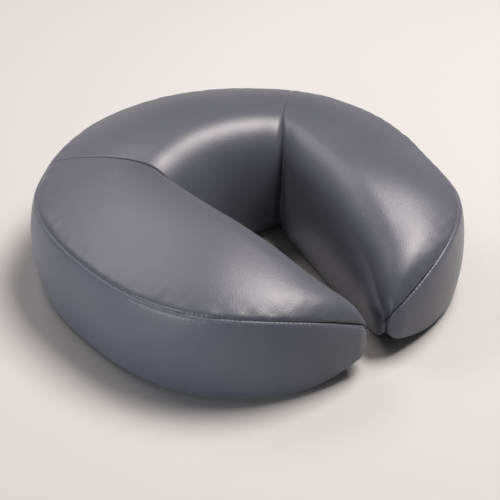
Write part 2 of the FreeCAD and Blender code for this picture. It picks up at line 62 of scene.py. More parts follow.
HALF_WIDTH = -BAND_BOX[0][0]
CROWN_BACK = UPPER_BOX[1][1]
CROWN_CENTRE = np.array([0.0, CROWN_BACK - HALF_WIDTH])
BASE_LOW = BASE_BOX[0][2]
SEAM_DROP = 2.0 * MM             # the seam lies this far below the top of the frame's band
SEAM_Z = UPPER_BOX[1][2] - SEAM_DROP
CREST_Z = TOP_BOX[1][2]
SLOT_LOW = LOWER_BOX[1][2]
SLOT_HIGH = UPPER_BOX[0][2]
SLOT_HALF_ANGLE = math.asin(UPPER_BOX[1][0] / HALF_WIDTH)
FOAM_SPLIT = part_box("base_foam")[1][2]

BULGE = 5.4 * MM                 # the band swells out this far between its seams
COVER = 1.2 * MM                 # leatherette with its backing


# ------------------------------------------------------------------ small numeric helpers

def smooth(x):
    """Ease from 0 to 1."""
    x = np.clip(x, 0.0, 1.0)
    return x * x * (3.0 - 2.0 * x)


def along(points):
    """Running length along a polyline."""
    steps = np.linalg.norm(np.diff(points, axis=0), axis=1)
    return np.concatenate([[0.0], np.cumsum(steps)])


def resample(points, shares):
    """Points at the given shares of a polyline's length."""
    run = along(points)
    run = run / run[-1]
    columns = [np.interp(shares, run, points[:, k]) for k in range(points.shape[1])]
    return np.stack(columns, axis=1)


def arc(centre, radius, start, end, count):
    """Points on an arc, from one angle to another in degrees from +X."""
    angles = np.radians(np.linspace(start, end, count))
    return np.stack([centre[0] + radius * np.cos(angles), centre[1] + radius * np.sin(angles)], axis=1)


def ripple(points, seed, wave):
    """Gentle repeatable unevenness of space, from -1 to 1, with bumps about a wave long."""
    total = np.zeros(points.shape[:-1])
    rng = np.random.default_rng(seed)
    waves = 8
    shortest, longest = 0.6, 1.4
    for _ in range(waves):
        way = rng.normal(size=3)
        way = way / np.linalg.norm(way)
        k = 2 * math.pi / wave * rng.uniform(shortest, longest)
        total = total + np.sin(k * (points @ way) + rng.uniform(0, 2 * math.pi))
    return total / waves


def groove(distance, width, depth):
    """Depth of a rounded shoulder that drops to the seam."""
    share = 1.0 - np.clip(distance / width, 0.0, 1.0)
    return depth * (1.0 - np.sqrt(np.maximum(0.0, 1.0 - share * share)))


# ------------------------------------------------------------------ plan curves

SEAM_HALF_WIDTH = HALF_WIDTH - 4.6 * MM
MIDDLE_Y = -1.3 * MM
FRONT_REACH = 148.4 * MM
BACK_REACH = 151.1 * MM
FRONT_SQUARE = 2.47              # superellipse powers: 2 is round, more is squarer
BACK_SQUARE = 2.2
TIP_GAP_HALF = 6.9 * MM
TIP_RADIUS = 14.0 * MM
TIP_TURN = (270, 225)            # the tip's arc, in degrees from +X
NOSE_START = 0.78                # share of the arm's inner edge that runs straight
CORNER = np.array([39.3 * MM, 10.7 * MM])   # back corner of the face opening
CROWN_INNER = 21.6 * MM                     # the opening's edge on the middle line
DART_LEFT_ANGLE = math.radians(27)          # dart seams, from +Y
DART_RIGHT_ANGLE = math.radians(45)
TIP_LEAN = (-1.0 * MM, -5.5 * MM)   # both tips lean a little to the left, the right one more
LEAN_FROM = 30.0 * MM
LEAN_OVER = 180.0 * MM
BAND_PROUD = 0.5 * MM            # at the zip the swollen band stands out of the frame's by this
BULGE_AT_ZIP = 0.95              # share of the bulge that it has at the zip's height
CIRCLE_EASE = math.radians(22)   # beyond the zip the circle eases into the outline
OUTLINE_POINTS = 1200
STRAIGHT_POINTS = 160
CURVE_POINTS = 60
TIP_POINTS = 24


def outer_half():
    """Outline at seam level, from the middle of the crown to the tip's inner corner."""
    turn = np.linspace(0.0, math.pi, OUTLINE_POINTS)
    side, back = np.sin(turn), np.cos(turn)
    power = np.where(back > 0, BACK_SQUARE, FRONT_SQUARE)
    reach = np.where(back > 0, BACK_REACH, FRONT_REACH)
    x = SEAM_HALF_WIDTH * np.abs(side) ** (2 / power)
    y = MIDDLE_Y + reach * np.sign(back) * np.abs(back) ** (2 / power)
    curve = np.stack([x, y], axis=1)
    # behind the zip the outline is a true circle, so that the zip lies in the band
    spoke = curve - CROWN_CENTRE
    radius = np.linalg.norm(spoke, axis=1)
    angle = np.arctan2(spoke[:, 0], spoke[:, 1])
    free = smooth((angle - SLOT_HALF_ANGLE) / CIRCLE_EASE)
    zip_radius = HALF_WIDTH + BAND_PROUD - BULGE_AT_ZIP * BULGE
    radius_new = zip_radius + (radius - zip_radius) * free
    curve = CROWN_CENTRE + spoke * (radius_new / radius)[:, None]
    end = np.argmax((curve[:, 0] < TIP_GAP_HALF + TIP_RADIUS) & (curve[:, 1] < 0))
    front = curve[end, 1]
    centre = (TIP_GAP_HALF + TIP_RADIUS, front + TIP_RADIUS)
    return np.vstack([curve[:end], arc(centre, TIP_RADIUS, *TIP_TURN, TIP_POINTS)])


OUTER_HALF = outer_half()


def inner_crown():
    """The opening's edge, from the middle of the crown to its back corner."""
    share = np.linspace(0.0, 1.0, CURVE_POINTS)
    x = CORNER[0] * share
    y = CROWN_INNER + (CORNER[1] - CROWN_INNER) * share ** 2
    return np.stack([x, y], axis=1)


def inner_arm():
    """Straight down the arm, then easing round the nose to meet the outline at its tip."""
    tip = OUTER_HALF[-1]
    run = np.array([TIP_GAP_HALF, tip[1]]) - CORNER
    start = CORNER + NOSE_START * run
    reach = np.linalg.norm(tip - start)
    leave = reach * run / np.linalg.norm(run)
    arrive = reach * math.sqrt(0.5) * np.array([1.0, -1.0])     # at 45 degrees, as the arc ends
    t = np.linspace(0.0, 1.0, CURVE_POINTS)[1:, None]
    nose = ((2 * t ** 3 - 3 * t ** 2 + 1) * start + (t ** 3 - 2 * t ** 2 + t) * leave
            + (3 * t ** 2 - 2 * t ** 3) * tip + (t ** 3 - t ** 2) * arrive)
    edge = CORNER + NOSE_START * run * np.linspace(0.0, 1.0, STRAIGHT_POINTS)[:, None]
    return np.vstack([edge, nose])


def dart_outer_index(angle):
    """Where a dart seam, drawn out from the opening's corner, meets the outline."""
    direction = np.array([math.sin(angle), math.cos(angle)])
    spoke = OUTER_HALF - CORNER
    cross = spoke[:, 0] * direction[1] - spoke[:, 1] * direction[0]
    return int(np.argmax((cross > 0) & (spoke @ direction > 0)))


CROWN_STATIONS = 130             # from the middle of the crown to the dart
ARM_STATIONS = 420               # from the dart to the tip


def plan(dart_angle):
    """Outer and inner plan points of every section of one half, as on the right."""
    cut = dart_outer_index(dart_angle)
    crown_share = np.linspace(0.0, 1.0, CROWN_STATIONS + 1)
    arm_share = np.linspace(0.0, 1.0, ARM_STATIONS + 1)
    outer = np.vstack([resample(OUTER_HALF[:cut + 1], crown_share),
                       resample(OUTER_HALF[cut:], arm_share)[1:]])
    inner = np.vstack([resample(inner_crown(), crown_share),
                       resample(inner_arm(), arm_share)[1:]])
    return outer, inner


# ------------------------------------------------------------------ section of the cushion

BAND_ROWS = 44
TOP_ROWS = 34
ROLL_ROWS = 34
UNDER_ROWS = 12
SEAM_ROW = BAND_ROWS
LAST_ROW = BAND_ROWS + TOP_ROWS + ROLL_ROWS + UNDER_ROWS

CREST_ARM = CREST_Z - 5.5 * MM
CREST_CROWN = CREST_Z - 0.5 * MM
ROLL = 42.0 * MM
TIP_FLATTER = 7.0 * MM           # the top is less domed towards the tips
UNDERCUT = 12.5 * MM
BULGE_Z = 25.0 * MM              # height where the inner wall stands out furthest
LEAST_WIDTH = 0.5 * MM           # a narrower section keeps the direction of the one before
NEAR_TIP = 4                     # stations from a tip to the first section with a clear width

# along an arm, as places from 0 at the crown to 1 at the tip
CROWN_ENDS = 0.35
FLATTER_FROM = 0.50
FLATTER_OVER = 0.40

# the widths at which a section's roundings reach their full size
CREST_FULL = 60.0 * MM
ROLL_FULL = 155.0 * MM
UNDER_FULL = 125.0 * MM
BULGE_FULL = 45.0 * MM

# powers of the sines and cosines that draw the roundings: 1 is plain, less is fuller
BAND_POWER = 0.75
TOP_POWER = 0.9
ROLL_POWER = 2 / 2.2
CREST_POWER = 1.1                # above 1, narrow sections have a lower crest
CROWDING = 2.2                   # rows crowd towards a seam by this power


def crowded(count, low, high):
    """Shares from 0 to 1, packed closer at either end by the given powers."""
    share = np.linspace(0.0, 1.0, count + 1)
    left = share ** low
    right = 1.0 - (1.0 - share) ** high
    return left * (1.0 - share) + right * share


def fullness(width, full):
    """How far a rounding has grown on a section of some width, from 0 to 1."""
    return 1.0 - (1.0 - min(1.0, width / full)) ** 2


def section(width, place):
    """Distances inwards and heights round one section; place runs 0 at the crown to 1 at the tip."""
    crown = float(smooth(1.0 - place / CROWN_ENDS))
    seam, low = SEAM_Z, BASE_LOW
    tip = float(smooth((place - FLATTER_FROM) / FLATTER_OVER))
    crest = CREST_ARM + (CREST_CROWN - CREST_ARM) * crown - TIP_FLATTER * tip
    crest = seam + (crest - seam) * fullness(width, CREST_FULL) ** CREST_POWER
    roll = ROLL * fullness(width, ROLL_FULL)
    under = UNDERCUT * fullness(width, UNDER_FULL)
    bulge_z = low + BULGE_Z * (seam - low) / (SEAM_Z - BASE_LOW)
    flat = width - roll
    share = crowded(BAND_ROWS, CROWDING, CROWDING)
    band_in = -BULGE * np.sin(math.pi * share) ** BAND_POWER * fullness(width, BULGE_FULL)
    band_z = low + (seam - low) * share
    share = crowded(TOP_ROWS, CROWDING, 1.0)[1:]
    top_in = flat * share
    top_z = seam + (crest - seam) * np.sin(0.5 * math.pi * share) ** TOP_POWER
    turn = np.linspace(0.0, 0.5 * math.pi, ROLL_ROWS + 1)[1:]
    roll_in = flat + roll * np.sin(turn) ** ROLL_POWER
    roll_z = bulge_z + (crest - bulge_z) * np.cos(turn) ** ROLL_POWER
    turn = np.linspace(0.0, 0.5 * math.pi, UNDER_ROWS + 1)[1:]
    under_in = width - under + under * np.cos(turn)
    under_z = bulge_z - (bulge_z - low) * np.sin(turn)
    inwards = np.concatenate([band_in, top_in, roll_in, under_in])
    heights = np.concatenate([band_z, top_z, roll_z, under_z])
    return inwards, heights


def half_surface(outer, inner):
    """Grid of points: sections along the right half, rows round each section."""
    count = len(outer)
    grid = np.zeros((count, LAST_ROW + 1, 3))
    arm = inner[-1] - outer[0]
    for k in range(count):
        across = inner[k] - outer[k]
        width = float(np.linalg.norm(across))
        if width > LEAST_WIDTH:
            arm = across / width
        inwards, heights = section(width, k / (count - 1))
        grid[k, :, 0] = outer[k, 0] + arm[0] * inwards
        grid[k, :, 1] = outer[k, 1] + arm[1] * inwards
        grid[k, :, 2] = heights
    return grid


def inward_normals(grid):
    """Unit normals of the grid. The way its rows and stations run makes them point inwards."""
    du = np.gradient(grid, axis=0)
    dv = np.gradient(grid, axis=1)
    normal = np.cross(du, dv)
    length = np.linalg.norm(normal, axis=2, keepdims=True)
    normal = normal / np.maximum(length, TINY)
    # a tip's own section has no width, so it borrows the direction of one near it
    for tip, near in ((0, NEAR_TIP), (-1, -1 - NEAR_TIP)):
        way = normal[near].mean(axis=0)
        normal[tip] = way / np.linalg.norm(way)
    return normal


# ------------------------------------------------------------------ whole cover surface

NOSE_MIDDLE = 30.0 * MM          # height the tips close towards
NOSE_RISE = 15.0 * MM            # the lower edge comes up this far at a tip's corner
RISE_REACH = 64.0 * MM
NOSE_FALL = 32.0 * MM            # and the outer seam comes down this far
FALL_REACH = 112.0 * MM
NOSE_CURL = 9.0 * MM             # radius at which the seam turns down the tip
CURL_BELOW = 0.7                 # share of the curl that the lower edge takes
RISE_POWER = 2.0
FALL_POWER = 2.2

WAIST_ANGLE = 113.0              # the right arm is slimmer here, in degrees from +Y
WAIST_SPREAD = 17.0
WAIST_DEPTH = 7.0 * MM


def round_noses(grid):
    """Close the height of both tips towards their inner corners."""
    corners = (grid[0, 0, :2], grid[-1, 0, :2])
    away = np.minimum(*[np.linalg.norm(grid[:, :, :2] - corner, axis=2) for corner in corners])
    rise = NOSE_RISE * np.clip(1.0 - away / RISE_REACH, 0.0, 1.0) ** RISE_POWER
    fall = NOSE_FALL * np.clip(1.0 - away / FALL_REACH, 0.0, 1.0) ** FALL_POWER
    curl = groove(away, NOSE_CURL, NOSE_CURL)
    height = grid[:, :, 2] - NOSE_MIDDLE
    below = np.clip(-height / (NOSE_MIDDLE - BASE_LOW), 0.0, 1.0)
    above = np.clip(height / (SEAM_Z - NOSE_MIDDLE), 0.0, 1.0)
    grid[:, :, 2] += (rise + CURL_BELOW * curl) * below - (fall + curl) * above


def draw_in(grid, angle, spread, size):
    """Draw the outer side in by a size, round an angle in degrees from +Y."""
    around = np.degrees(np.arctan2(grid[:, :, 0], grid[:, :, 1])) - angle
    radius = np.linalg.norm(grid[:, :, :2], axis=2)
    outer = np.clip(radius / HALF_WIDTH * 2.0 - 1.0, 0.0, 1.0)
    pull = size * np.exp(-(around / spread) ** 2) * outer
    grid[:, :, :2] *= (1.0 - pull / np.maximum(radius, MM))[:, :, None]


def cover_surface():
    """Sections from the left tip round the crown to the right tip."""
    right = half_surface(*plan(DART_RIGHT_ANGLE))
    left = half_surface(*plan(DART_LEFT_ANGLE))[::-1] * np.array([-1.0, 1.0, 1.0])
    grid = np.concatenate([left, right[1:]], axis=0)
    lean = smooth((LEAN_FROM - grid[:, :, 1]) / LEAN_OVER)
    grid[:, :, 0] += lean * np.where(grid[:, :, 0] < 0, *TIP_LEAN)
    draw_in(grid, WAIST_ANGLE, WAIST_SPREAD, WAIST_DEPTH)
    round_noses(grid)
    return grid


SURFACE = cover_surface()
STATIONS = len(SURFACE)
MIDDLE = STATIONS // 2
DART_LEFT = MIDDLE - CROWN_STATIONS
DART_RIGHT = MIDDLE + CROWN_STATIONS
SECTION_RUN = np.stack([along(SURFACE[k]) for k in range(STATIONS)])
SEAM_RUN = along(SURFACE[:, SEAM_ROW])


def station_at_angle(angle):
    """The station whose outer point lies nearest an angle from +Y about the crown's centre."""
    spoke = SURFACE[:, 0, :2] - CROWN_CENTRE
    turn = np.arctan2(spoke[:, 0], spoke[:, 1])
    return int(np.argmin(np.abs(turn - angle)))


ZIP_LEFT = station_at_angle(-SLOT_HALF_ANGLE)
ZIP_RIGHT = station_at_angle(SLOT_HALF_ANGLE)


ROW = np.arange(LAST_ROW + 1)[None, :]
STATION = np.arange(STATIONS)[:, None]

# width and depth of the rounded shoulders beside each kind of seam
SEAM_GROOVE = (4.2 * MM, 2.9 * MM)
EDGE_GROOVE = (3.0 * MM, 2.2 * MM)
JOIN_GROOVE = (2.4 * MM, 1.6 * MM)
DART_GROOVE = (3.4 * MM, 2.2 * MM)

DART_SHALLOW = (0.10, 0.30)      # share of its depth that the left, right dart keeps at the seam
DART_START = 6                   # rows from the outer seam to where a dart starts to deepen
VALLEY_DEPTH = 2.6 * MM
VALLEY_WIDTH = 13.0 * MM

STITCH_PITCH = 3.3 * MM
PUCKER_DEPTH = 0.22 * MM
PUCKER_REACH = 2.2 * MM
PULL_SEED = 5
PULL_WAVE = 12.0 * MM
PULL_DEPTH = 0.7 * MM
PULL_REACH = 9.0 * MM
PULL_ON_BAND = 0.4               # share of the pull that the band shows; the top shows it all
UNEVEN = ((0.9 * MM, 11, 90.0 * MM), (0.12 * MM, 12, 30.0 * MM))    # size, seed, wave
ZIP_CALM = math.radians(12)      # beyond the zip the band's unevenness grows over this angle


def seam_distances():
    """Distance of every grid point, over the surface, to each kind of seam."""
    to_seam = np.abs(SECTION_RUN - SECTION_RUN[:, SEAM_ROW:SEAM_ROW + 1])
    to_low = SECTION_RUN
    to_end = SECTION_RUN[:, -1:] - SECTION_RUN
    to_tip = np.linalg.norm(SURFACE[:, :, :2] - SURFACE[:1, :, :2], axis=2)
    to_tip = np.minimum(to_tip, np.linalg.norm(SURFACE[:, :, :2] - SURFACE[-1:, :, :2], axis=2))
    step = np.linalg.norm(np.diff(SURFACE, axis=0), axis=2)
    run = np.concatenate([np.zeros((1, LAST_ROW + 1)), np.cumsum(step, axis=0)])
    dart = np.where(STATION < MIDDLE, np.abs(run - run[DART_LEFT]), np.abs(run - run[DART_RIGHT]))
    joins = [np.abs(run - run[k:k + 1]) for k in (ZIP_LEFT, ZIP_RIGHT)]
    return to_seam, to_low, to_end, to_tip, dart, np.minimum(*joins)


def dressed_surface():
    """The cover's surface with its seams, puckers and slight unevenness."""
    inward = inward_normals(SURFACE)
    to_seam, to_low, to_end, to_tip, to_dart, to_join = seam_distances()
    on_top = ROW >= SEAM_ROW
    run = SEAM_RUN[:, None]

    depth = groove(to_seam, *SEAM_GROOVE)
    for distance in (to_low, to_end, to_tip):
        depth = np.maximum(depth, groove(distance, *EDGE_GROOVE))
    depth = np.maximum(depth, groove(to_join, *JOIN_GROOVE) * ~on_top)

    # the darts pull a valley into the opening's corners, which fades out over the top
    opening = smooth((ROW - SEAM_ROW - DART_START) / float(TOP_ROWS + DART_START))
    shallow = np.where(STATION < MIDDLE, *DART_SHALLOW)
    dart_depth = groove(to_dart, *DART_GROOVE) * (shallow + (1.0 - shallow) * opening)
    valley = VALLEY_DEPTH * opening * np.exp(-(to_dart / VALLEY_WIDTH) ** 2)
    dart_depth = dart_depth + valley
    depth = np.maximum(depth, dart_depth * on_top)

    # thread pulls: short puckers at stitch pitch, longer ones now and then
    stitch = np.cos(2 * math.pi * run / STITCH_PITCH)
    pucker = PUCKER_DEPTH * stitch * np.exp(-to_seam / PUCKER_REACH)
    pull = ripple(SURFACE, PULL_SEED, PULL_WAVE) * np.exp(-to_seam / PULL_REACH) * PULL_DEPTH
    depth = depth + pucker + pull * (PULL_ON_BAND + (1.0 - PULL_ON_BAND) * on_top)

    # foam under leatherette is never quite even, though the zip holds its band even
    spoke = SURFACE[:, :1, :2] - CROWN_CENTRE
    turn = np.abs(np.arctan2(spoke[:, :, 0], spoke[:, :, 1]))
    beside_zip = smooth((turn - SLOT_HALF_ANGLE) / ZIP_CALM)
    above_zip = smooth((ROW - SEAM_ROW) / TOP_ROWS)
    uneven = 0.0
    for size, seed, wave in UNEVEN:
        uneven = uneven + size * ripple(SURFACE, seed, wave)
    depth = depth + uneven * np.maximum(beside_zip, above_zip)
    return SURFACE + inward * depth[:, :, None], inward


DRESSED, INWARD = dressed_surface()


# ------------------------------------------------------------------ meshes

def mesh_object(name, vertices, faces):
    """Smooth-shaded object from vertices and faces."""
    mesh = bpy.data.meshes.new(name)
    mesh.from_pydata([tuple(v) for v in vertices], [], faces)
    mesh.validate()
    mesh.update()
    obj = bpy.data.objects.new(name, mesh)
    bpy.context.scene.collection.objects.link(obj)
    mesh.polygons.foreach_set("use_smooth", [True] * len(mesh.polygons))
    return obj


def grid_faces(rows, columns):
    """Quads between the points of a grid."""
    faces = []
    for i in range(rows - 1):
        for j in range(columns - 1):
            a = i * columns + j
            faces.append((a, a + 1, a + columns + 1, a + columns))
    return faces


WELD = 0.02 * MM


def weld(obj):
    """Merge coincident points, as where a section shrinks to a line at a tip."""
    work = bmesh.new()
    work.from_mesh(obj.data)
    bmesh.ops.remove_doubles(work, verts=work.verts, dist=WELD)
    work.to_mesh(obj.data)
    work.free()
    obj.data.polygons.foreach_set("use_smooth", [True] * len(obj.data.polygons))
    return obj


def apply_modifiers(obj):
    """Replace the mesh by what its modifiers make of it."""
    graph = bpy.context.evaluated_depsgraph_get()
    result = bpy.data.meshes.new_from_object(obj.evaluated_get(graph))
    obj.modifiers.clear()
    obj.data = result
    return obj


def fold(points, inward, axis, at_end, reach):
    """Add two rows beyond one edge of a grid, turned in by reach at the seam."""
    at = -1 if at_end else 0
    edge = np.take(points, [at], axis=axis)
    way = np.take(inward, [at], axis=axis)
    half, full = edge + 0.5 * reach * way, edge + reach * way
    if at_end:
        return (np.concatenate([points, half, full], axis=axis),
                np.concatenate([inward, way, way], axis=axis))
    return (np.concatenate([full, half, points], axis=axis),
            np.concatenate([way, way, inward], axis=axis))


def shell(name, points, inward, folds):
    """Thin closed panel from a grid of points on its outer side.

    folds says how far each edge turns in: first station, last station, first row,
    last row. The panel's back lies one cover thickness inside its front.
    """
    for side, reach in enumerate(folds):
        if reach > 0:
            points, inward = fold(points, inward, side // 2, side % 2 == 1, reach)
    rows, columns = points.shape[:2]
    obj = mesh_object(name, points.reshape(-1, 3), grid_faces(rows, columns))
    weld(obj)
    thick = obj.modifiers.new("thickness", "SOLIDIFY")
    thick.thickness = COVER
    thick.offset = -1.0
    return apply_modifiers(obj)


def tube_faces(count, sides, first=0):
    """Faces of a closed tube of rings whose points start at first: its wall, then its ends."""
    faces = []
    for i in range(count - 1):
        for j in range(sides):
            a, b = first + i * sides + j, first + i * sides + (j + 1) % sides
            faces.append((a, b, b + sides, a + sides))
    last = first + (count - 1) * sides
    faces.append(tuple(first + j for j in reversed(range(sides))))
    faces.append(tuple(last + j for j in range(sides)))
    return faces


def closed_tube(name, sections):
    """Closed solid from a list of closed sections with the same number of points."""
    sections = np.array(sections)
    return mesh_object(name, sections.reshape(-1, 3), tube_faces(*sections.shape[:2]))


# ------------------------------------------------------------------ cover panels

SEAM_FOLD = 5.0 * MM
SLOT_FOLD = 0.9 * MM
UPPER_LEVELS = 30                # rows of points in the bands above and below the zip
LOWER_LEVELS = 20


def panel(name, first, last, row_from, row_to, folds):
    """Shell cut from the dressed surface."""
    stations, rows = slice(first, last + 1), slice(row_from, row_to + 1)
    return shell(name, DRESSED[stations, rows], INWARD[stations, rows], folds)


def top_panels():
    """The top cover in three panels, joined at the darts."""
    reach = (SEAM_FOLD,) * 4
    ends = {
        "cover_arm_left": (0, DART_LEFT, "top_panel_left"),
        "cover_crown": (DART_LEFT, DART_RIGHT, "top_panel_crown"),
        "cover_arm_right": (DART_RIGHT, STATIONS - 1, "top_panel_right"),
    }
    made = []
    for name, (first, last, node) in ends.items():
        piece = panel(name, first, last, SEAM_ROW, LAST_ROW, reach)
        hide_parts(node)
        made.append(piece)
    return made


def at_rows(points, rows):
    """Points of one section at rows that may lie between whole ones."""
    whole = np.arange(len(points))
    return np.stack([np.interp(rows, whole, points[:, c]) for c in range(3)], axis=1)


def band_between(low, high, count):
    """The band's grid behind the zip, from one height to another."""
    levels = np.linspace(0.0, 1.0, count)
    levels = low + (high - low) * smooth(levels)
    points, inward = [], []
    for k in range(ZIP_LEFT, ZIP_RIGHT + 1):
        heights = DRESSED[k, :SEAM_ROW + 1, 2]
        rows = np.interp(levels, heights, np.arange(SEAM_ROW + 1))
        points.append(at_rows(DRESSED[k, :SEAM_ROW + 1], rows))
        inward.append(at_rows(INWARD[k, :SEAM_ROW + 1], rows))
    return np.array(points), np.array(inward)


def side_bands():
    """The side band: one piece down each arm, and two behind with the zip between them."""
    whole = (SEAM_FOLD,) * 4
    left = panel("band_left", 0, ZIP_LEFT, 0, SEAM_ROW, whole)
    right = panel("band_right", ZIP_RIGHT, STATIONS - 1, 0, SEAM_ROW, whole)
    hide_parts("side_band_left")
    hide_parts("side_band_right")
    top = DRESSED[ZIP_LEFT:ZIP_RIGHT + 1, SEAM_ROW, 2].max()
    points, inward = band_between(SLOT_HIGH, top, UPPER_LEVELS)
    upper = shell("band_above_zip", points, inward, (SEAM_FOLD, SEAM_FOLD, SLOT_FOLD, SEAM_FOLD))
    points, inward = band_between(BASE_LOW, SLOT_LOW, LOWER_LEVELS)
    lower = shell("band_below_zip", points, inward, (SEAM_FOLD, SEAM_FOLD, SEAM_FOLD, SLOT_FOLD))
    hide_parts("zip_band_upper")
    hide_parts("zip_band_lower")
    return [left, right, upper, lower]


CLOTH_ROWS = 24
CLOTH_CROWDING = 1.6


def base_cloth():
    """Flat cloth underneath, from the band's lower edge to the opening's."""
    share = crowded(CLOTH_ROWS, CLOTH_CROWDING, CLOTH_CROWDING)[None, :, None]
    outer, inner = DRESSED[:, :1], DRESSED[:, -1:]
    points = outer * (1 - share) + inner * share
    up = np.zeros_like(points)
    up[:, :, 2] = 1.0
    points, up = points[:, ::-1], up[:, ::-1]
    piece = shell("base_cloth", points, up, (0, 0, SEAM_FOLD, SEAM_FOLD))
    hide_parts("base_panel")
    return piece


# ------------------------------------------------------------------ foam inside

FOAM_INSET = 3.5 * MM
LEAST_FOAM = 45.0 * MM           # the foam stops where an arm gets this narrow
FOAM_STEP = 6                    # stations from one foam section to the next
WALL_POINTS = 8
ARCH_POINTS = 48
ARCH_CLEAR = 2.0 * MM            # the arch starts this far above the split


def foam_rings():
    """The cover's sections, taken in, wherever there is room for foam."""
    for k in range(0, STATIONS, FOAM_STEP):
        if np.linalg.norm(SURFACE[k, -1, :2] - SURFACE[k, 0, :2]) > LEAST_FOAM:
            yield DRESSED[k] + INWARD[k] * FOAM_INSET


def wall_points(wall, levels):
    """Points on a rising wall at the given heights."""
    columns = [np.interp(levels, wall[:, 2], wall[:, c]) for c in range(2)]
    return np.stack([*columns, levels], axis=1)


def firm_section(ring):
    """Lower layer: two walls, from just above the base cloth up to the split."""
    crest = int(np.argmax(ring[:, 2]))
    low = max(ring[0, 2], ring[-1, 2]) + FOAM_INSET
    levels = np.linspace(low, FOAM_SPLIT, WALL_POINTS)
    outer = wall_points(ring[:crest + 1], levels)
    inner = wall_points(ring[crest:][::-1], levels)
    return np.vstack([outer, inner[::-1]])


def memory_section(ring):
    """Upper layer: a flat foot on the split, arched under the cover."""
    over = ring[ring[:, 2] > FOAM_SPLIT + ARCH_CLEAR]
    arch = resample(over, np.linspace(0.0, 1.0, ARCH_POINTS))
    feet = [arch[end] * [1, 1, 0] + [0, 0, FOAM_SPLIT] for end in (0, -1)]
    return np.vstack([feet[0], arch, feet[1]])


def foam_layer(name, node, section_of):
    """One foam layer, from the section that a function makes of each ring."""
    piece = closed_tube(name, [section_of(ring) for ring in foam_rings()])
    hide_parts(node)
    return piece


# ------------------------------------------------------------------ seam thread

STITCH_LENGTH = 2.2 * MM
THREAD_RADIUS = 0.26 * MM
THREAD_SIDES = 6
THREAD_DEPTH = 1.7 * MM          # the thread lies this far down in the seam's groove
AHEAD = 0.001                    # share of the seam over which its direction is taken
ROD = ((-0.5, 0.35), (-0.3, 1.0), (0.3, 1.0), (0.5, 0.35))     # shares of length, radius


def stitches():
    """Thread showing in the outer seam, one short rod for each stitch."""
    line = SURFACE[:, SEAM_ROW] + INWARD[:, SEAM_ROW] * THREAD_DEPTH
    total = along(line)[-1]
    vertices, faces = [], []
    for k in range(int(total / STITCH_PITCH)):
        middle = (k + 0.5) * STITCH_PITCH / total
        ends = resample(line, np.array([middle, middle + AHEAD]))
        way = ends[1] - ends[0]
        way = way / np.linalg.norm(way)
        side = np.cross(way, [0.0, 0.0, 1.0])
        side = side / np.linalg.norm(side)
        rise = np.cross(way, side)
        first = len(vertices)
        for share, size in ROD:
            for j in range(THREAD_SIDES):
                turn = 2 * math.pi * j / THREAD_SIDES
                spoke = side * math.cos(turn) + rise * math.sin(turn)
                centre = ends[0] + way * share * STITCH_LENGTH
                vertices.append(centre + spoke * THREAD_RADIUS * size)
        faces.extend(tube_faces(len(ROD), THREAD_SIDES, first))
    return mesh_object("seam_thread", vertices, faces)


# ------------------------------------------------------------------ materials

class Nodes:
    """A short way to write a material's node graph."""

    def __init__(self, name):
        self.material = bpy.data.materials.new(name)
        self.material.use_nodes = True
        self.tree = self.material.node_tree
        self.tree.nodes.clear()
        self.output = self.add("ShaderNodeOutputMaterial")
        self.shader = self.add("ShaderNodeBsdfPrincipled")
        self.link(self.shader, "BSDF", self.output, "Surface")
        self.place = self.add("ShaderNodeTexCoord")

    def add(self, kind, **values):
        """A new node with the given settings."""
        node = self.tree.nodes.new(kind)
        for key, value in values.items():
            setattr(node, key, value)
        return node

    def link(self, source, output, target, socket):
        """Join one node's output to another's input, both by name."""
        self.tree.links.new(source.outputs[output], target.inputs[socket])

    def noise(self, scale, detail=2.0, rough=0.5):
        """Cloudy noise in the object's own space; scale is in waves per metre."""
        node = self.add("ShaderNodeTexNoise")
        node.inputs["Scale"].default_value = scale
        node.inputs["Detail"].default_value = detail
        node.inputs["Roughness"].default_value = rough
        self.link(self.place, "Object", node, "Vector")
        return node

    def cells(self, scale, feature="F1"):
        """Packed cells in the object's own space; scale is in cells per metre."""
        node = self.add("ShaderNodeTexVoronoi", feature=feature)
        node.inputs["Scale"].default_value = scale
        self.link(self.place, "Object", node, "Vector")
        return node

    def spread(self, source, output, low, high):
        """Stretch a value's range from low to high out to 0 to 1."""
        node = self.add("ShaderNodeMapRange")
        node.inputs["From Min"].default_value = low
        node.inputs["From Max"].default_value = high
        node.inputs["To Min"].default_value = 0.0
        node.inputs["To Max"].default_value = 1.0
        self.link(source, output, node, "Value")
        return node

    def tint(self, factor, first, second):
        """Base colour that runs between two colours."""
        node = self.add("ShaderNodeMix", data_type="RGBA")
        node.inputs["A"].default_value = (*first, 1.0)
        node.inputs["B"].default_value = (*second, 1.0)
        self.link(factor, "Result", node, "Factor")
        self.tree.links.new(node.outputs["Result"], self.shader.inputs["Base Color"])
        return node

    def bump(self, height, output, strength, distance, below=None):
        """Surface relief, on top of the relief below it if there is one."""
        node = self.add("ShaderNodeBump")
        node.inputs["Strength"].default_value = strength
        node.inputs["Distance"].default_value = distance
        self.link(height, output, node, "Height")
        if below:
            self.link(below, "Normal", node, "Normal")
        return node

    def finish(self, roughness, **constants):
        """Set the constant values and hand over the material."""
        self.shader.inputs["Roughness"].default_value = roughness
        for key, value in constants.items():
            self.shader.inputs[key.replace("_", " ")].default_value = value
        return self.material


def shade(colour, factor):
    """A colour made darker or lighter."""
    return tuple(channel * factor for channel in colour)


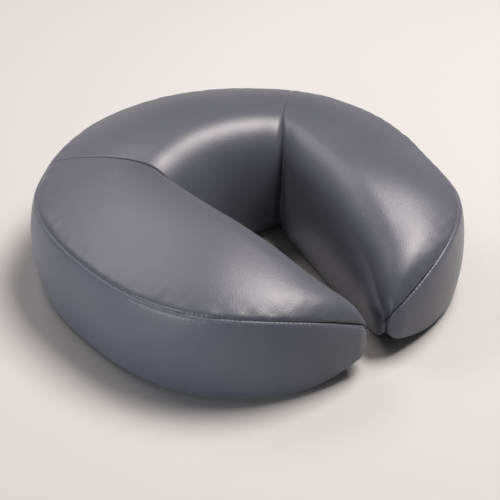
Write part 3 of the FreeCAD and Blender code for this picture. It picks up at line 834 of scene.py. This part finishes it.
def leatherette(name, colour, roughness):
    """Smooth coated cloth: fine pebble grain, faint mottling, soft shine."""
    nodes = Nodes(name)
    mottle = nodes.spread(nodes.noise(scale=14.0, detail=4.0), "Fac", low=0.3, high=0.7)
    nodes.tint(mottle, shade(colour, 0.93), shade(colour, 1.07))
    pebbles = nodes.bump(nodes.cells(scale=1300.0, feature="SMOOTH_F1"), "Distance",
                         strength=0.60, distance=0.15 * MM)
    creases = nodes.bump(nodes.noise(scale=520.0, detail=3.0), "Fac",
                         strength=0.30, distance=0.18 * MM, below=pebbles)
    dents = nodes.bump(nodes.noise(scale=60.0, detail=2.0), "Fac",
                       strength=0.14, distance=0.8 * MM, below=creases)
    nodes.link(dents, "Normal", nodes.shader, "Normal")
    return nodes.finish(roughness, Specular_IOR_Level=0.5, Sheen_Weight=0.12,
                        Sheen_Roughness=0.5)


def woven(name, colour, threads):
    """Matt cloth with a plain weave."""
    nodes = Nodes(name)
    fleck = nodes.spread(nodes.noise(scale=600.0, detail=2.0), "Fac", low=0.35, high=0.65)
    nodes.tint(fleck, shade(colour, 0.7), shade(colour, 1.3))
    weft = nodes.add("ShaderNodeTexWave", bands_direction="X")
    warp = nodes.add("ShaderNodeTexWave", bands_direction="Y")
    for wave in (weft, warp):
        wave.inputs["Scale"].default_value = threads
        nodes.link(nodes.place, "Object", wave, "Vector")
    first = nodes.bump(weft, "Fac", strength=0.4, distance=0.15 * MM)
    second = nodes.bump(warp, "Fac", strength=0.4, distance=0.15 * MM, below=first)
    nodes.link(second, "Normal", nodes.shader, "Normal")
    return nodes.finish(0.9, Specular_IOR_Level=0.2)


def loop_pile(name, colour):
    """Fuzzy loop tape."""
    nodes = Nodes(name)
    fuzz = nodes.noise(scale=2200.0, detail=4.0, rough=0.7)
    fleck = nodes.spread(fuzz, "Fac", low=0.3, high=0.7)
    nodes.tint(fleck, shade(colour, 0.4), shade(colour, 2.2))
    rough = nodes.bump(fuzz, "Fac", strength=1.0, distance=0.6 * MM)
    nodes.link(rough, "Normal", nodes.shader, "Normal")
    return nodes.finish(0.95, Sheen_Weight=0.6, Sheen_Roughness=0.4)


def foam(name, colour, pores):
    """Open-cell foam, with painted shade darkening its pores."""
    nodes = Nodes(name)
    cells = nodes.cells(pores)
    # painted shade: the pore centres, where the bump sinks pits, are tinted darker than the walls
    # between them
    painted_pore_shade = nodes.spread(cells, "Distance", low=0.0, high=0.6)
    nodes.tint(painted_pore_shade, shade(colour, 0.8), colour)
    pits = nodes.bump(cells, "Distance", strength=0.8, distance=0.4 * MM)
    nodes.link(pits, "Normal", nodes.shader, "Normal")
    return nodes.finish(0.95, Specular_IOR_Level=0.1)


def plastic(name, colour, roughness):
    """Plain plastic or waxed thread, faintly uneven in colour."""
    nodes = Nodes(name)
    wear = nodes.spread(nodes.noise(scale=500.0), "Fac", low=0.3, high=0.7)
    nodes.tint(wear, shade(colour, 0.85), shade(colour, 1.15))
    return nodes.finish(roughness)


def nickel(name, colour):
    """Dark plated metal with fine brushing."""
    nodes = Nodes(name)
    wear = nodes.spread(nodes.noise(scale=300.0, detail=3.0), "Fac", low=0.35, high=0.65)
    nodes.tint(wear, shade(colour, 0.8), shade(colour, 1.1))
    scratches = nodes.bump(nodes.noise(scale=1500.0, detail=2.0), "Fac",
                           strength=0.15, distance=0.05 * MM)
    nodes.link(scratches, "Normal", nodes.shader, "Normal")
    return nodes.finish(0.32, Metallic=1.0)


SLATE = (0.056, 0.062, 0.082)
COVER_LEATHER = leatherette("slate_leatherette", SLATE, 0.42)
# painted light: the band is the top panels' leatherette made 1.25 times lighter, a lit copy of the
# same material that stands in for the light falling on the band's sides
BAND_LEATHER_PAINTED_LIGHTER = leatherette("slate_leatherette_band_painted_lighter", shade(SLATE, 1.25), 0.44)
BASE_CLOTH = woven("black_base_cloth", (0.028, 0.028, 0.031), 500.0)
LOOP_TAPE = loop_pile("black_loop_tape", (0.02, 0.02, 0.022))
GREY_FOAM = foam("grey_firm_foam", (0.45, 0.46, 0.48), 900.0)
CREAM_FOAM = foam("cream_memory_foam", (0.78, 0.70, 0.50), 1600.0)
ZIP_CLOTH = woven("black_zip_tape", (0.022, 0.022, 0.025), 900.0)
TEETH_PLASTIC = plastic("black_zip_teeth", (0.018, 0.018, 0.02), 0.35)
ZIP_METAL = nickel("dark_nickel", (0.34, 0.34, 0.36))
THREAD = plastic("slate_thread", shade(SLATE, 0.75), 0.6)


def dress(obj, material):
    """Give a piece made here its one material."""
    obj.data.materials.clear()
    obj.data.materials.append(material)


def dress_node(node, material):
    """Give a piece of the frame a better material."""
    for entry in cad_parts[node].material_slots:
        entry.material = material


# ------------------------------------------------------------------ build

def soft_piece(piece, material):
    """Dress a cover panel or foam layer and attach it to the cushion's body."""
    dress(piece, material)
    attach(piece, "cushion")


for top in top_panels():
    soft_piece(top, COVER_LEATHER)
for side in side_bands():
    soft_piece(side, BAND_LEATHER_PAINTED_LIGHTER)
upper_foam = foam_layer("memory_foam_layer", "memory_foam", memory_section)
soft_piece(upper_foam, CREAM_FOAM)
lower_foam = foam_layer("firm_foam_layer", "base_foam", firm_section)
soft_piece(lower_foam, GREY_FOAM)

cloth = base_cloth()
dress(cloth, BASE_CLOTH)
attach(cloth, "cushion")

thread = stitches()
dress(thread, THREAD)
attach(thread, "cushion")

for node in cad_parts:
    if node.startswith("loop_strip"):
        dress_node(node, LOOP_TAPE)
    elif node.startswith("zip_tape"):
        dress_node(node, ZIP_CLOTH)
    elif node.startswith("zip_teeth"):
        dress_node(node, TEETH_PLASTIC)
    elif node in ("zip_stops", "zip_slider", "zip_pull_tab"):
        dress_node(node, ZIP_METAL)


# ------------------------------------------------------------------ stage, light, camera

def matt(name, colour):
    """Plain material with no shine."""
    nodes = Nodes(name)
    nodes.shader.inputs["Base Color"].default_value = (*colour, 1.0)
    return nodes.finish(1.0, Specular_IOR_Level=0.0)


def floor():
    """Wide pale floor under the cushion."""
    reach = 6.0
    corners = [(-reach, -reach, 0), (reach, -reach, 0), (reach, reach, 0), (-reach, reach, 0)]
    obj = mesh_object("floor", corners, [(0, 1, 2, 3)])
    dress(obj, matt("white_floor", (0.42, 0.42, 0.42)))
    return obj


def softbox(name, place, target, width, height, power, colour):
    """Rectangular light at a place, turned to its target."""
    light = bpy.data.lights.new(name, "AREA")
    light.shape = "RECTANGLE"
    light.size = width
    light.size_y = height
    light.energy = power
    light.color = colour
    obj = bpy.data.objects.new(name, light)
    obj.location = place
    way = Vector(target) - Vector(place)
    obj.rotation_euler = way.to_track_quat("-Z", "Y").to_euler()
    bpy.context.scene.collection.objects.link(obj)
    return obj


def lights():
    """Dim surroundings and three softboxes: overhead to the right, low on the left, behind."""
    world = bpy.data.worlds.new("studio")
    bpy.context.scene.world = world
    world.use_nodes = True
    background = world.node_tree.nodes["Background"]
    background.inputs["Color"].default_value = (1.0, 1.0, 1.0, 1.0)
    background.inputs["Strength"].default_value = 0.08
    middle = (0.0, 0.0, 0.05)
    softbox("overhead", (0.56, -0.13, 1.36), middle, 0.7, 0.7, 40.0, (1.0, 0.92, 0.88))
    softbox("left", (-1.35, -0.15, 0.20), middle, 0.8, 0.3, 12.0, (0.95, 0.96, 1.0))
    softbox("behind", (-0.15, 0.95, 1.20), middle, 1.0, 0.5, 9.0, (1.0, 0.90, 0.88))


def camera():
    """Camera in front on the left and above, with a long lens, aimed near the middle."""
    azimuth, elevation = math.radians(-38.5), math.radians(34.3)
    distance = 1.069
    target = Vector((-16.8, -26.4, 34.0)) * MM
    back = Vector((math.sin(azimuth) * math.cos(elevation),
                   -math.cos(azimuth) * math.cos(elevation), math.sin(elevation)))
    data = bpy.data.cameras.new("camera")
    data.sensor_width = 36.0
    data.lens = 108.1
    obj = bpy.data.objects.new("camera", data)
    obj.location = target + back * distance
    obj.rotation_euler = (-back).to_track_quat("-Z", "Y").to_euler()
    bpy.context.scene.collection.objects.link(obj)
    bpy.context.scene.camera = obj


floor()
lights()
camera()
bpy.context.scene.view_settings.view_transform = "Standard"
